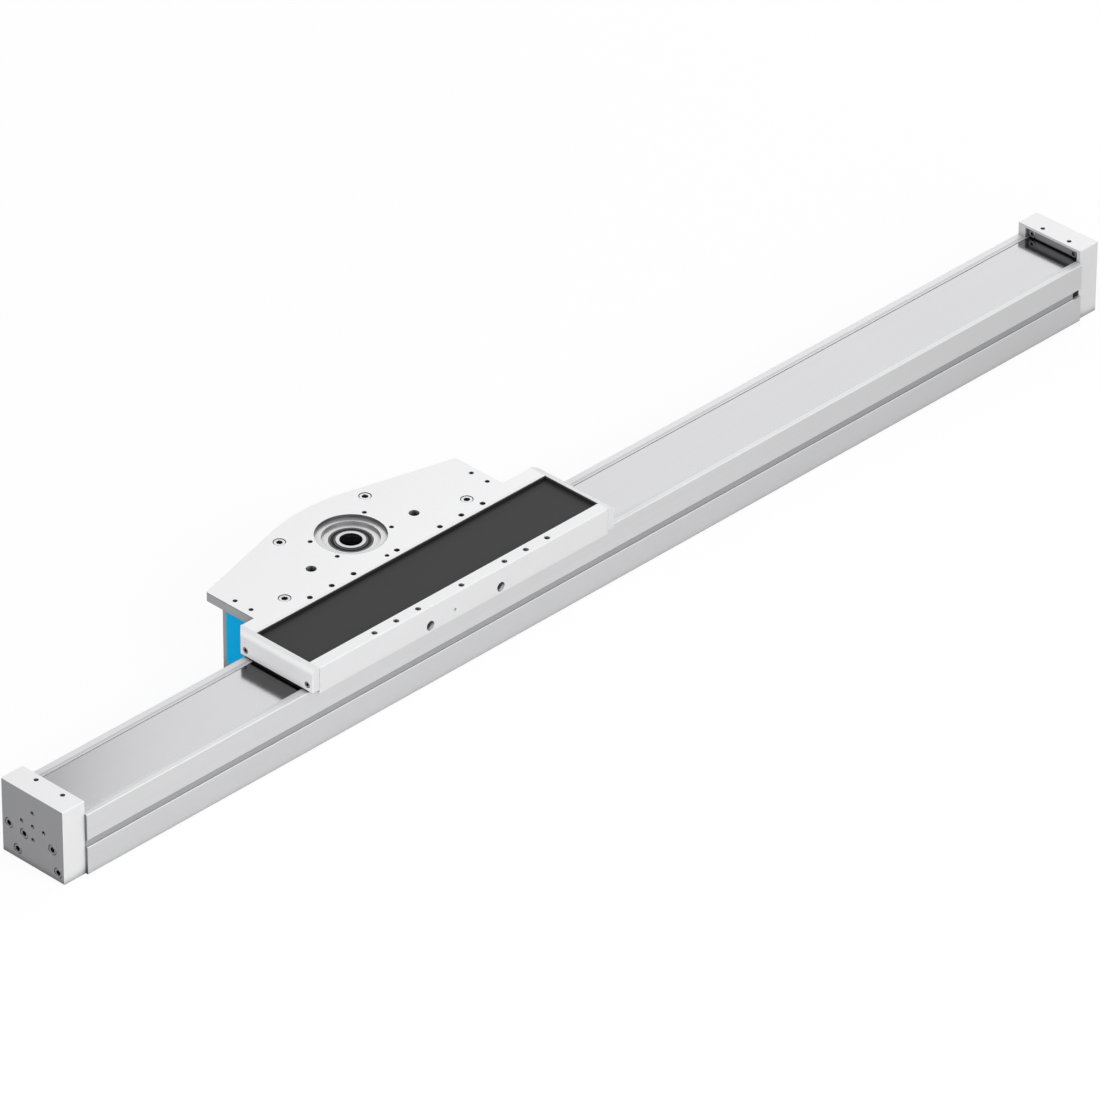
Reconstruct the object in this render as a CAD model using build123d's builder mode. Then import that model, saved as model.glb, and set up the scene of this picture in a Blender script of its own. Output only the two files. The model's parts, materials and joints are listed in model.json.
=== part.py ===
from build123d import *
from math import acos, asin, atan2, ceil, cos, floor, hypot, pi, radians, sin, tan
import os

# Cantilever linear axis: the drive head stays still and the long profile slides through it.
# Millimetres, +Z up. The origin is the centre of the motor flange on the head's top face,
# +X runs along the profile, -Y is the guide side and +Y is the side of the belt drive.
# Heights are counted from the foot of the profile, and depths from its front side.

# Profile and its travel
profile_width = 73.5
profile_height = 56.0
stroke = 800.0
travel_reserve = 8.75
rest_gap_left = 239.75
guide_offset = 1.25
channel_width = 46.0
channel_floor_height = 33.0
corner_radius = 1.0
front_chamber = (30.5, 20.5, 17.0, 15.0)
back_chamber = (58.5, 20.5, 9.0, 13.0)
chamber_round = 2.5
slot_height = 28.5
slot_opening = 6.4
slot_edge = 0.4
slot_mouth_depth = 3.0
slot_inner_width = 10.5
slot_inner_depth = 5.0
slot_entry_length = 9.0
slot_entry_height = 7.6
slot_cover_recess = 1.2
slot_cover_skin = 1.2
slot_cover_foot = 8.0

# Guide rail and runner blocks
rail_width = 15.0
rail_height = 10.0
rail_end_margin = 6.0
rail_screw_pitch = 100.0
rail_screw_edge = 30.0
rail_screw_head = 5.6
rail_screw_head_depth = 3.2
rail_screw_shank = 3.0
rail_screw_length = 14.0
raceway_radius = 1.6
raceway_height = 6.0
block_width = 32.0
block_height = 16.0
block_length = 50.0
block_end_length = 5.0
block_under_gap = 2.5
block_round = 1.0
block_spacing = 150.0
block_screw_spacing = 25.0
block_screw_shank = 4.0
block_screw_head = 7.0
block_screw_head_height = 4.0
block_screw_grip = 6.0

# Head
head_length = 342.5
head_offset = 9.5
head_height = 79.0
head_front_overhang = 6.0
head_back_overhang = 9.0
body_back_overhang = 4.0
head_rise = 0.8
skirt_drop = 1.0
body_edge = 0.5
end_cover_thickness = 7.5
end_cover_lift = 1.4
end_cover_round = 5.0
end_cover_chamfer = 6.5
end_screw_spread = 70.0
end_screw_height = 63.5
end_screw_shank = 3.0
end_screw_head = 5.5
end_screw_head_height = 3.0
end_screw_grip = 8.0
tunnel_width = 60.0
tunnel_floor_height = 62.0
tunnel_roof_height = 72.5
ramp_length = 52.0
pocket_width = 60.0
pocket_depth = 4.2
cover_plate_thickness = 1.2
cover_rim_thickness = 1.0
cover_rim_drop = 0.3
row_spacing = 73.0
row_steps = (49.0, 73.5, 98.0)
row_hole = 5.0
pin_hole = 4.0
pin_hole_x = -1.7
plug_spacing = 80.0
plug_height = 61.0
plug_bore = 8.5
plug_depth = 5.0
plug_recess = 2.8
plug_socket = 4.0
port_offset = -12.0
port_height = 63.5
port_bore = 2.5
port_depth = 5.0

# Cover strip, its guides and wipers
strip_thickness = 0.5
strip_width = 55.4
strip_recess_width = 56.0
strip_recess_depth = 1.0
strip_tunnel_height = 67.0
strip_bend = 60.0
strip_low_in = 6.0
strip_high_in = 46.0
strip_tail = 11.0
strip_guide_gap = 0.5
strip_guide_width = 54.0
wiper_thickness = 3.0
wiper_seat = 2.0
wiper_width = 63.0
wiper_rise = 0.2
wiper_tip_width = 54.8
wiper_reach = 0.2
wiper_edge = 0.3

# Drive plates and housing
axis_to_front = 115.0
plate_thickness = 8.0
plate_end_inset = 29.75
plate_edge = 0.5
plate_crown_reach = 54.0
plate_crown_radius = 150.0
plate_corner_reach = 21.4
plate_corner_round = 2.5
seam_depth = 68.5
bottom_plate_height = 5.0
bottom_plate_gap = 2.0
housing_inset = 10.5
wall_thickness = 4.0
boss_radius = 7.5
window_side_gap = 7.0
window_top_height = 46.0
guard_thickness = 12.0
guard_round = 3.0
guard_gap = 0.4
tongue_top_height = 55.0
flange_hole_x = 61.5
flange_hole_y = 31.0
flange_hole = 4.2
centring_hole = 9.0
centring_hole_spacing = 116.6
centring_hole_y = -13.7
crown_screw_x = 48.5
crown_screw_y = 32.7
side_screw_inset = 27.8
side_screw_y = -29.3
plate_screw_shank = 6.0
plate_screw_head = 10.0
plate_screw_bore = 11.0
plate_screw_head_height = 4.0
plate_screw_sink = 4.4
plate_screw_grip = 12.0
socket_share = 0.3
socket_depth_share = 0.55
screw_edge = 0.3
plate_end_hole_inset = 7.7
plate_end_holes_y = (-4.1, -22.3)
plate_end_hole = 4.2
pilot_bore = 60.0
pilot_depth = 3.0
step_bore = 48.7
step_depth = 5.5
tie_screw_inner = 25.0
tie_screw_end = 47.0
tie_screw_depth = 73.0
tie_screw_shank = 4.0
tie_screw_head = 7.0
tie_screw_head_height = 4.0
tie_screw_grip = 6.0

# Belt drive
belt_pitch = 5.0
pulley_teeth = 24
belt_width = 25.0
belt_height = 29.0
belt_body = 1.5
tooth_height = 1.2
tooth_root = 2.7
tooth_flank_angle = 70.0
belt_sink = 1.8
groove_clearance = 0.7
groove_side_gap = 1.0
tooth_clearance = 0.2
pulley_width = 26.0
idler_radius = 14.0
idler_width = 26.0
idler_spread = 62.0
idler_bore = 21.0
idler_bearing_width = 5.0
idler_end_gap = 0.3
axle_diameter = 12.0
axle_shoulder = 14.0
axle_seat_depth = 4.0
flange_radius = 21.5
flange_thickness = 1.5
bearing_bore = 25.0
bearing_outer = 37.0
bearing_width = 7.0
bearing_ring = 2.0
bearing_edge = 0.4
bearing_lip = 2.0
seat_lip = 1.0
seal_recess = 0.6
hub_bore = 19.0
hub_shoulder = 28.5
hub_drop = 5.0
hub_end = 0.5
boss_wall = 6.0

# End caps and what they hold
cap_depth = 23.0
cap_width = 70.0
cap_inset = 2.5
cap_height = 68.0
cap_round = 0.8
cap_top_hole = 4.2
cap_top_hole_in = 17.0
cap_top_hole_spacing = 30.0
clamp_pocket_width = 58.6
clamp_pocket_depth = 14.0
clamp_pocket_height = 65.6
clamp_recess = 3.0
clamp_round = 2.5
clamp_screw_spacing = 47.0
clamp_screw_height = 60.5
clamp_screw_shank = 4.0
clamp_screw_head = 7.0
clamp_screw_head_height = 2.6
clamp_screw_head_sink = 2.0
clamp_screw_grip = 5.0
cap_screw_places = ((15.5, 27.0), (47.5, 27.0), (55.5, 9.0), (9.5, 8.2))
cap_screw_shank = 5.0
cap_screw_head = 8.5
cap_screw_bore = 9.4
cap_screw_head_height = 5.0
cap_screw_sink = 5.3
cap_screw_grip = 14.0
payload_height = 38.0
payload_pcd = 25.0
payload_hole = 4.2
payload_hole_depth = 10.0
belt_pocket_depth = 17.0
belt_tail = 14.0
belt_clamp_width = 12.5
belt_clamp_side = 2.0
tension_screw_depth = 64.7
tension_screw_grip = 10.0
belt_clamp_gap = 1.0
belt_clamp_inset = 0.4

# Clearances
running_fit = 0.05
seat_gap = 0.15
guide_gap = 0.3
side_gap = 1.0
screw_gap = 0.1

# Places that follow from the sizes
y_front = -axis_to_front
y_back = y_front + profile_width
y_middle = y_front + profile_width / 2
y_guide = y_middle - guide_offset
y_cap_front = y_front + cap_inset
y_cap_back = y_cap_front + cap_width
y_cap_middle = y_cap_front + cap_width / 2
z_base = -head_height
z_top = z_base + profile_height
z_floor = z_base + channel_floor_height
z_block_top = z_floor + block_height
z_head = z_top + head_rise
z_cover = z_head + end_cover_lift
z_tunnel_floor = z_base + tunnel_floor_height
z_tunnel_roof = z_base + tunnel_roof_height
z_strip = z_top - strip_recess_depth + strip_thickness / 2
z_strip_high = z_base + strip_tunnel_height
z_slot = z_base + slot_height
z_belt = z_base + belt_height
z_plate = -plate_thickness
z_bottom = z_base + bottom_plate_height
z_bottom_top = z_bottom + plate_thickness

profile_length = head_length + stroke + 2 * travel_reserve
head_left = head_offset - head_length / 2
head_right = head_offset + head_length / 2
body_left = head_left + end_cover_thickness
body_right = head_right - end_cover_thickness
x_left = head_left - rest_gap_left
x_right = x_left + profile_length
x_middle = (x_left + x_right) / 2
y_head_front = y_front - head_front_overhang
y_head_back = y_back + head_back_overhang
y_body_back = y_back + body_back_overhang
y_seam = y_front + seam_depth
y_rows = (y_guide - row_spacing / 2, y_guide + row_spacing / 2)
row_offsets = [-step for step in reversed(row_steps)] + [0.0] + list(row_steps)
y_tie = y_front + tie_screw_depth
tie_screw_x = [head_offset + side * reach for side in (-1, 1)
               for reach in (tie_screw_inner, head_length / 2 - tie_screw_end)]
slot_depth = slot_mouth_depth + slot_inner_depth

pitch_radius = belt_pitch * pulley_teeth / (2 * pi)
y_belt_back = y_back - belt_sink
y_pitch = y_belt_back - belt_body / 2
idler_pitch_radius = idler_radius + belt_body / 2
y_idler = y_pitch + idler_pitch_radius
x_idler = idler_spread / 2
groove_depth = belt_sink + belt_body + tooth_height + groove_clearance
groove_height = belt_width + 2 * groove_side_gap

os.makedirs("parts", exist_ok=True)


def finish(builder, label):
    """Label a finished piece and write it to its own STEP file."""
    builder.part.label = label
    export_step(builder.part, f"parts/{label}.step")


def box_between(x0, x1, y0, y1, z0, z1, mode=Mode.ADD):
    """Add or cut a box given by its two corners."""
    with Locations(((x0 + x1) / 2, (y0 + y1) / 2, (z0 + z1) / 2)):
        Box(abs(x1 - x0), abs(y1 - y0), abs(z1 - z0), mode=mode)


def rod(x, y, z0, z1, diameter, mode=Mode.ADD):
    """Add or cut an upright cylinder between two heights."""
    with Locations((x, y, (z0 + z1) / 2)):
        Cylinder(diameter / 2, abs(z1 - z0), mode=mode)


def rod_along_x(y, z, x0, x1, diameter, mode=Mode.ADD):
    """Add or cut a cylinder that lies along X."""
    with Locations(Location(((x0 + x1) / 2, y, z), (0, 90, 0))):
        Cylinder(diameter / 2, abs(x1 - x0), mode=mode)


def socket_screw(place, direction, shank, grip, head, head_height):
    """A socket head screw: place is under the head, direction points out of the head."""
    seat = Plane(origin=place, z_dir=direction)
    with BuildSketch(seat) as head_face:
        Circle(head / 2)
    with BuildSketch(seat) as shank_face:
        Circle(shank / 2)
    with BuildSketch(seat.offset(head_height - screw_edge)) as rim_face:
        Circle(head / 2)
    with BuildSketch(seat.offset(head_height)) as socket_face:
        RegularPolygon(head * socket_share, 6)
    extrude(head_face.sketch, amount=head_height - screw_edge)
    extrude(rim_face.sketch, amount=screw_edge, taper=45)
    extrude(shank_face.sketch, amount=-grip)
    extrude(socket_face.sketch, amount=-head_height * socket_depth_share, mode=Mode.SUBTRACT)


# Profile: an open channel for the guide, a belt groove behind and a covered slot in front

with BuildPart() as profile_extrusion:
    with BuildSketch(Plane.YZ.offset(x_left)):
        with Locations((y_middle, z_base + profile_height / 2)):
            RectangleRounded(profile_width, profile_height, corner_radius)
        with Locations((y_guide, (z_floor + z_top) / 2)):
            Rectangle(channel_width, z_top - z_floor, mode=Mode.SUBTRACT)
        with Locations((y_guide, z_top - strip_recess_depth / 2)):
            Rectangle(strip_recess_width, strip_recess_depth, mode=Mode.SUBTRACT)
        with Locations((y_front + slot_mouth_depth / 2, z_slot)):
            Rectangle(slot_mouth_depth, slot_opening, mode=Mode.SUBTRACT)
        with Locations((y_front + slot_mouth_depth + slot_inner_depth / 2, z_slot)):
            Rectangle(slot_inner_depth, slot_inner_width, mode=Mode.SUBTRACT)
        with Locations((y_front, z_slot - slot_opening / 2), (y_front, z_slot + slot_opening / 2)):
            Rectangle(slot_edge * 2 ** 0.5, slot_edge * 2 ** 0.5, rotation=45, mode=Mode.SUBTRACT)
        with Locations((y_back - groove_depth / 2, z_belt)):
            Rectangle(groove_depth, groove_height, mode=Mode.SUBTRACT)
        for depth, height, width, tall in (front_chamber, back_chamber):
            with Locations((y_front + depth, z_base + height)):
                RectangleRounded(width, tall, chamber_round, mode=Mode.SUBTRACT)
        with Locations(*[(y_front + depth, z_base + height) for depth, height in cap_screw_places]):
            Circle(cap_screw_shank / 2 + screw_gap, mode=Mode.SUBTRACT)
    extrude(amount=profile_length)
    box_between(x_right - slot_entry_length, x_right, y_front, y_front + slot_depth,
                z_slot - slot_entry_height / 2, z_slot + slot_entry_height / 2, mode=Mode.SUBTRACT)
    rail_screw_count = int((profile_length - 2 * rail_screw_edge) // rail_screw_pitch) + 1
    with Locations((x_middle, y_guide, z_floor)):
        with GridLocations(rail_screw_pitch, 1, rail_screw_count, 1):
            Hole(rail_screw_shank / 2 + screw_gap, depth=rail_screw_length)
finish(profile_extrusion, "profile_extrusion")

cover_neck = slot_mouth_depth - slot_cover_recess
with BuildPart() as slot_cover:
    with BuildSketch(Plane.YZ.offset(x_left)):
        with Locations((y_front + slot_cover_recess + cover_neck / 2, z_slot)):
            Rectangle(cover_neck, slot_opening - 2 * seat_gap)
        with Locations((y_front + slot_mouth_depth + slot_cover_skin / 2 + seat_gap / 2, z_slot)):
            Rectangle(slot_cover_skin + seat_gap, slot_opening - 2 * seat_gap)
        with Locations((y_front + slot_mouth_depth + seat_gap + slot_cover_skin, z_slot)):
            Rectangle(slot_cover_skin, slot_cover_foot)
    extrude(amount=profile_length - slot_entry_length)
finish(slot_cover, "slot_cover")

# Guide rail on the channel floor, with a raceway in each side


def across(x):
    """A sketch plane square to the rail at x: its origin is on the channel floor, width first."""
    return Plane(origin=(x, y_guide, z_floor), x_dir=(0, 1, 0), z_dir=(1, 0, 0))


raceways = ((-rail_width / 2, raceway_height), (rail_width / 2, raceway_height))
with BuildPart() as guide_rail:
    with BuildSketch(across(x_left + rail_end_margin)):
        with Locations((0, rail_height / 2)):
            Rectangle(rail_width, rail_height)
        with Locations(*raceways):
            Circle(raceway_radius, mode=Mode.SUBTRACT)
    extrude(amount=profile_length - 2 * rail_end_margin)
    with Locations((x_middle, y_guide, z_floor + rail_height)):
        with GridLocations(rail_screw_pitch, 1, rail_screw_count, 1):
            CounterBoreHole(rail_screw_shank / 2 + screw_gap, rail_screw_head / 2 + screw_gap,
                            rail_screw_head_depth + seat_gap)
finish(guide_rail, "guide_rail")

with BuildPart() as rail_screws:
    for index in range(rail_screw_count):
        x_screw = x_middle + (index - (rail_screw_count - 1) / 2) * rail_screw_pitch
        z_under_head = z_floor + rail_height - rail_screw_head_depth - seat_gap
        rod(x_screw, y_guide, z_under_head, z_under_head + rail_screw_head_depth, rail_screw_head)
        rod(x_screw, y_guide, z_under_head - rail_screw_length, z_under_head, rail_screw_shank)
finish(rail_screws, "rail_screws")

# Runner blocks: a saddle over the rail with an end plate at each end

block_places = [head_offset - block_spacing / 2, head_offset + block_spacing / 2]
block_body_height = block_height - block_under_gap
block_screw_spots = [(x, y_guide + side * block_screw_spacing / 2)
                     for block_x in block_places
                     for x in (block_x - block_screw_spacing / 2, block_x + block_screw_spacing / 2)
                     for side in (-1, 1)]


def saddle(x0, x1, shrink, gap):
    """A length of runner block: its outline less shrink, riding in the raceways with a gap."""
    opening_top = rail_height + gap
    with BuildSketch(across(x0)) as section:
        with Locations((0, block_under_gap + (block_body_height - shrink) / 2)):
            RectangleRounded(block_width - 2 * shrink, block_body_height - shrink, block_round)
        with Locations((0, opening_top / 2)):
            Rectangle(rail_width + 2 * gap, opening_top, mode=Mode.SUBTRACT)
        with Locations(*raceways):
            Circle(raceway_radius - gap)
    extrude(section.sketch, amount=x1 - x0)


for label, block_x in zip(("runner_block_left", "runner_block_right"), block_places):
    with BuildPart() as runner_block:
        saddle(block_x - block_length / 2, block_x + block_length / 2, 0, guide_gap)
        with Locations(*[(x, y, z_block_top) for x, y in block_screw_spots if abs(x - block_x) < block_length / 2]):
            Hole(block_screw_shank / 2 + screw_gap, depth=block_screw_grip + 1)
    finish(runner_block, label)

with BuildPart() as runner_end_plates:
    for block_x in block_places:
        for side in (-1, 1):
            x_near = block_x + side * block_length / 2
            x_far = x_near + side * block_end_length
            saddle(min(x_near, x_far), max(x_near, x_far), guide_gap, 2 * guide_gap)
finish(runner_end_plates, "runner_end_plates")

# Head body: a closed frame round the cover strip, with a foot that reaches into the channel

foot_left = body_left + ramp_length + 1
foot_right = body_right - ramp_length - 1
end_screw_spots = [(y_guide - end_screw_spread / 2, z_base + end_screw_height),
                   (y_guide + end_screw_spread / 2, z_base + end_screw_height)]
plug_places = [head_offset - plug_spacing / 2, head_offset + plug_spacing / 2]

with BuildPart() as carriage_body:
    box_between(body_left, body_right, y_head_front, y_seam, z_head, 0)
    box_between(body_left, body_right, y_head_front, y_front - head_rise, z_top - skirt_drop, z_head)
    front_edges = carriage_body.faces().sort_by(Axis.Y)[0].edges()
    chamfer(front_edges.filter_by(Axis.Z) + front_edges.filter_by(Axis.X).sort_by(Axis.Z)[-1:], body_edge)
    box_between(body_left, body_right, y_seam, y_body_back, z_head, z_plate)
    box_between(foot_left, foot_right, y_guide - channel_width / 2 + side_gap,
                y_guide + channel_width / 2 - side_gap, z_block_top, z_head)
    box_between(body_left, body_right, y_guide - tunnel_width / 2, y_guide + tunnel_width / 2,
                z_tunnel_floor, z_tunnel_roof, mode=Mode.SUBTRACT)
    for x0, x1 in ((body_left, body_left + ramp_length), (body_right - ramp_length, body_right)):
        box_between(x0, x1, y_guide - tunnel_width / 2, y_guide + tunnel_width / 2,
                    z_head, z_tunnel_floor, mode=Mode.SUBTRACT)
    box_between(body_left, body_right, y_guide - pocket_width / 2, y_guide + pocket_width / 2,
                -pocket_depth, 0, mode=Mode.SUBTRACT)
    with Locations(*[(head_offset + offset, y_rows[0], 0) for offset in row_offsets]):
        Hole(row_hole / 2, depth=plate_thickness)
    for x, y in block_screw_spots:
        rod(x, y, z_block_top, z_tunnel_floor, block_screw_shank + 2 * screw_gap, mode=Mode.SUBTRACT)
        rod(x, y, z_tunnel_floor - block_screw_head_height - seat_gap, z_tunnel_floor,
            block_screw_head + 2 * seat_gap, mode=Mode.SUBTRACT)
    for x in tie_screw_x:
        rod(x, y_tie, z_head, z_plate, tie_screw_shank + 2 * screw_gap, mode=Mode.SUBTRACT)
        rod(x, y_tie, z_head, z_head + tie_screw_head_height + seat_gap,
            tie_screw_head + 2 * seat_gap, mode=Mode.SUBTRACT)
    for y, z in end_screw_spots:
        for x_end, inward in ((body_left, 1), (body_right, -1)):
            rod_along_x(y, z, x_end, x_end + inward * (end_screw_grip + 1),
                        end_screw_shank + 2 * screw_gap, mode=Mode.SUBTRACT)
    front_face = Plane(origin=(0, y_head_front, z_base), x_dir=(1, 0, 0), z_dir=(0, -1, 0))
    with BuildSketch(front_face):
        with Locations(*[(x, plug_height) for x in plug_places]):
            Circle(plug_bore / 2)
    extrude(amount=-plug_depth, mode=Mode.SUBTRACT)
    with BuildSketch(front_face):
        with Locations((head_offset + port_offset, port_height)):
            Circle(port_bore / 2)
    extrude(amount=-port_depth, mode=Mode.SUBTRACT)
finish(carriage_body, "carriage_body")

# The cover plate is a shallow tray that lines the pocket up to just under the head's top face

cover_half_width = pocket_width / 2 - seat_gap
tray_left = body_left + seat_gap
tray_right = body_right - seat_gap
with BuildPart() as cover_plate:
    box_between(tray_left, tray_right, y_guide - cover_half_width, y_guide + cover_half_width,
                -pocket_depth, -cover_rim_drop)
    box_between(tray_left + cover_rim_thickness, tray_right - cover_rim_thickness,
                y_guide - cover_half_width + cover_rim_thickness, y_guide + cover_half_width - cover_rim_thickness,
                -pocket_depth + cover_plate_thickness, -cover_rim_drop, mode=Mode.SUBTRACT)
finish(cover_plate, "cover_plate")

with BuildPart() as front_plugs:
    for x in plug_places:
        plug_face = Plane(origin=(x, y_head_front + plug_recess, z_base + plug_height), z_dir=(0, -1, 0))
        with BuildSketch(plug_face):
            Circle(plug_bore / 2 - seat_gap)
            RegularPolygon(plug_socket / 2, 6, mode=Mode.SUBTRACT)
        extrude(amount=-(plug_depth - plug_recess) / 2)
        with BuildSketch(plug_face.offset(-(plug_depth - plug_recess) / 2)):
            Circle(plug_bore / 2 - seat_gap)
        extrude(amount=-(plug_depth - plug_recess) / 2)
finish(front_plugs, "front_plugs")

with BuildPart() as runner_screws:
    for x, y in block_screw_spots:
        socket_screw((x, y, z_tunnel_floor - block_screw_head_height - seat_gap), (0, 0, 1),
                     block_screw_shank, z_tunnel_floor - z_block_top - block_screw_head_height + block_screw_grip,
                     block_screw_head, block_screw_head_height)
finish(runner_screws, "runner_screws")

with BuildPart() as tie_screws:
    for x in tie_screw_x:
        socket_screw((x, y_tie, z_head + tie_screw_head_height + seat_gap), (0, 0, -1), tie_screw_shank,
                     z_plate - z_head - tie_screw_head_height + tie_screw_grip - 1,
                     tie_screw_head, tie_screw_head_height)
finish(tie_screws, "tie_screws")

# End covers close the head, with a wiper under each on the cover strip


def end_cover(x_outer, inward, label):
    """One end cover: rounded along its top outer edge, cut back at the drive corner."""
    x_inner = x_outer + inward * end_cover_thickness
    with BuildPart() as cover:
        box_between(x_outer, x_inner, y_head_front, y_head_back, z_cover, 0)
        chamfer(cover.edges().filter_by(Axis.Z).filter_by(
            lambda edge: abs(edge.center().Y - y_head_front) < 0.01), body_edge)
        corner = cover.edges().filter_by(Axis.Z).filter_by(
            lambda edge: abs(edge.center().X - x_outer) < 0.01 and abs(edge.center().Y - y_head_back) < 0.01)
        chamfer(corner, end_cover_chamfer)
        top_edge = cover.edges().filter_by(Axis.Y).filter_by(
            lambda edge: abs(edge.center().X - x_outer) < 0.01 and abs(edge.center().Z) < 0.01)
        fillet(top_edge, end_cover_round)
        x_wiper = x_outer + inward * (end_cover_thickness - wiper_thickness) / 2
        box_between(x_wiper, x_wiper + inward * (wiper_thickness + seat_gap),
                    y_guide - wiper_width / 2 - seat_gap, y_guide + wiper_width / 2 + seat_gap,
                    z_cover, z_cover + wiper_seat, mode=Mode.SUBTRACT)
        for y, z in end_screw_spots:
            rod_along_x(y, z, x_outer, x_inner, end_screw_shank + 2 * screw_gap, mode=Mode.SUBTRACT)
            rod_along_x(y, z, x_outer, x_outer + inward * (end_screw_head_height + seat_gap),
                        end_screw_head + 2 * seat_gap, mode=Mode.SUBTRACT)
    finish(cover, label)


def wiper(x_outer, inward, label):
    """A wiper blade in its groove, reaching down between the lips of the profile."""
    x_wiper = x_outer + inward * ((end_cover_thickness - wiper_thickness) / 2 + seat_gap / 2)
    with BuildPart() as blade:
        box_between(x_wiper, x_wiper + inward * wiper_thickness, y_guide - wiper_width / 2,
                    y_guide + wiper_width / 2, z_top + wiper_rise, z_cover + wiper_seat)
        box_between(x_wiper, x_wiper + inward * wiper_thickness, y_guide - wiper_tip_width / 2,
                    y_guide + wiper_tip_width / 2, z_top - wiper_reach, z_top + wiper_rise)
        tip = blade.edges().filter_by(Axis.Y).group_by(Axis.Z)[0]
        chamfer(tip, wiper_edge)
    finish(blade, label)


for side, x_outer, inward in (("left", head_left, 1), ("right", head_right, -1)):
    end_cover(x_outer, inward, f"end_cover_{side}")
    wiper(x_outer, inward, f"wiper_{side}")

with BuildPart() as end_cover_screws:
    for x_outer, inward in ((head_left, 1), (head_right, -1)):
        for y, z in end_screw_spots:
            socket_screw((x_outer + inward * (end_screw_head_height + seat_gap), y, z), (-inward, 0, 0),
                         end_screw_shank, end_cover_thickness - end_screw_head_height + end_screw_grip - 1,
                         end_screw_head, end_screw_head_height)
finish(end_cover_screws, "end_cover_screws")

# Cover strip: flat on the profile, lifted over the foot of the head, clamped in both caps


def strip_ramp(lift):
    """Low and high corner of the left ramp, moved square to the strip by lift."""
    x_low = body_left + strip_low_in
    x_high = body_left + strip_high_in
    angle = atan2(z_strip_high - z_strip, x_high - x_low)
    shift = lift * tan(angle / 2)
    return (x_low - shift, z_strip + lift), (x_high - shift, z_strip_high + lift)


def mirrored(point):
    """The same place at the other end of the head."""
    return 2 * head_offset - point[0], point[1]


low, high = strip_ramp(0)
with BuildPart() as cover_strip:
    with BuildSketch(Plane.XZ.offset(-(y_guide + strip_width / 2))):
        with BuildLine():
            FilletPolyline((x_left - strip_tail, z_strip), low, high, mirrored(high), mirrored(low),
                           (x_right + strip_tail, z_strip), radius=strip_bend)
        trace(line_width=strip_thickness)
    extrude(amount=strip_width)
finish(cover_strip, "cover_strip")

guide_lift = strip_thickness / 2 + strip_guide_gap
guide_low, guide_high = strip_ramp(guide_lift)
guide_start = body_left + seat_gap
guide_end = body_left + ramp_length
for side in ("left", "right"):
    with BuildPart() as strip_guide:
        with BuildSketch(Plane.XZ.offset(-(y_guide + strip_guide_width / 2))):
            with BuildLine():
                FilletPolyline((guide_end, z_tunnel_roof - seat_gap), (guide_start, z_tunnel_roof - seat_gap),
                               (guide_start, z_head), radius=0.5)
                Line((guide_start, z_head), (guide_low[0], z_head))
                Line((guide_low[0], z_head), (guide_high[0], guide_high[1]))
                Line((guide_high[0], guide_high[1]), (guide_end, guide_high[1]))
                Line((guide_end, guide_high[1]), (guide_end, z_tunnel_roof - seat_gap))
            make_face()
            if side == "right":
                mirror(about=Plane.YZ.offset(head_offset), mode=Mode.REPLACE)
        extrude(amount=strip_guide_width)
    finish(strip_guide, f"strip_guide_{side}")

# Drive plates: a dome outline between straight ends, tangent lines and a crown arc

plate_half_length = head_length / 2 - plate_end_inset
crown_centre_y = plate_crown_reach - plate_crown_radius
corner_from_crown = (plate_half_length, plate_corner_reach - crown_centre_y)
tangent_angle = (atan2(corner_from_crown[1], corner_from_crown[0])
                 + acos(plate_crown_radius / hypot(*corner_from_crown)))


def dome(y_near, inset, half_length):
    """Draw the dome outline in the open sketch, moved in by inset and ended at half_length."""
    radius = plate_crown_radius - inset
    x_tangent = radius * cos(tangent_angle)
    y_tangent = crown_centre_y + radius * sin(tangent_angle)
    y_corner = y_tangent - (half_length - x_tangent) / tan(tangent_angle)
    with BuildLine() as outline:
        Polyline((-x_tangent, y_tangent), (-half_length, y_corner), (-half_length, y_near),
                 (half_length, y_near), (half_length, y_corner), (x_tangent, y_tangent))
        ThreePointArc((x_tangent, y_tangent), (0, plate_crown_reach - inset), (-x_tangent, y_tangent))
    make_face(outline.edges())
    return y_corner


y_wall = y_back + body_back_overhang + guard_gap
boss_diameter = bearing_outer + 2 * boss_wall
z_upper_bearing = -step_depth - bearing_width
z_lower_bearing = z_bottom_top - bearing_width
housing_half_length = plate_half_length - housing_inset
housing_height = z_plate - z_bottom_top
window_half_length = x_idler + idler_radius + window_side_gap
side_screw_x = housing_half_length - side_screw_inset
plate_screw_spots = [(side * x, y) for x, y in ((crown_screw_x, crown_screw_y), (side_screw_x, side_screw_y))
                     for side in (-1, 1)]

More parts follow.
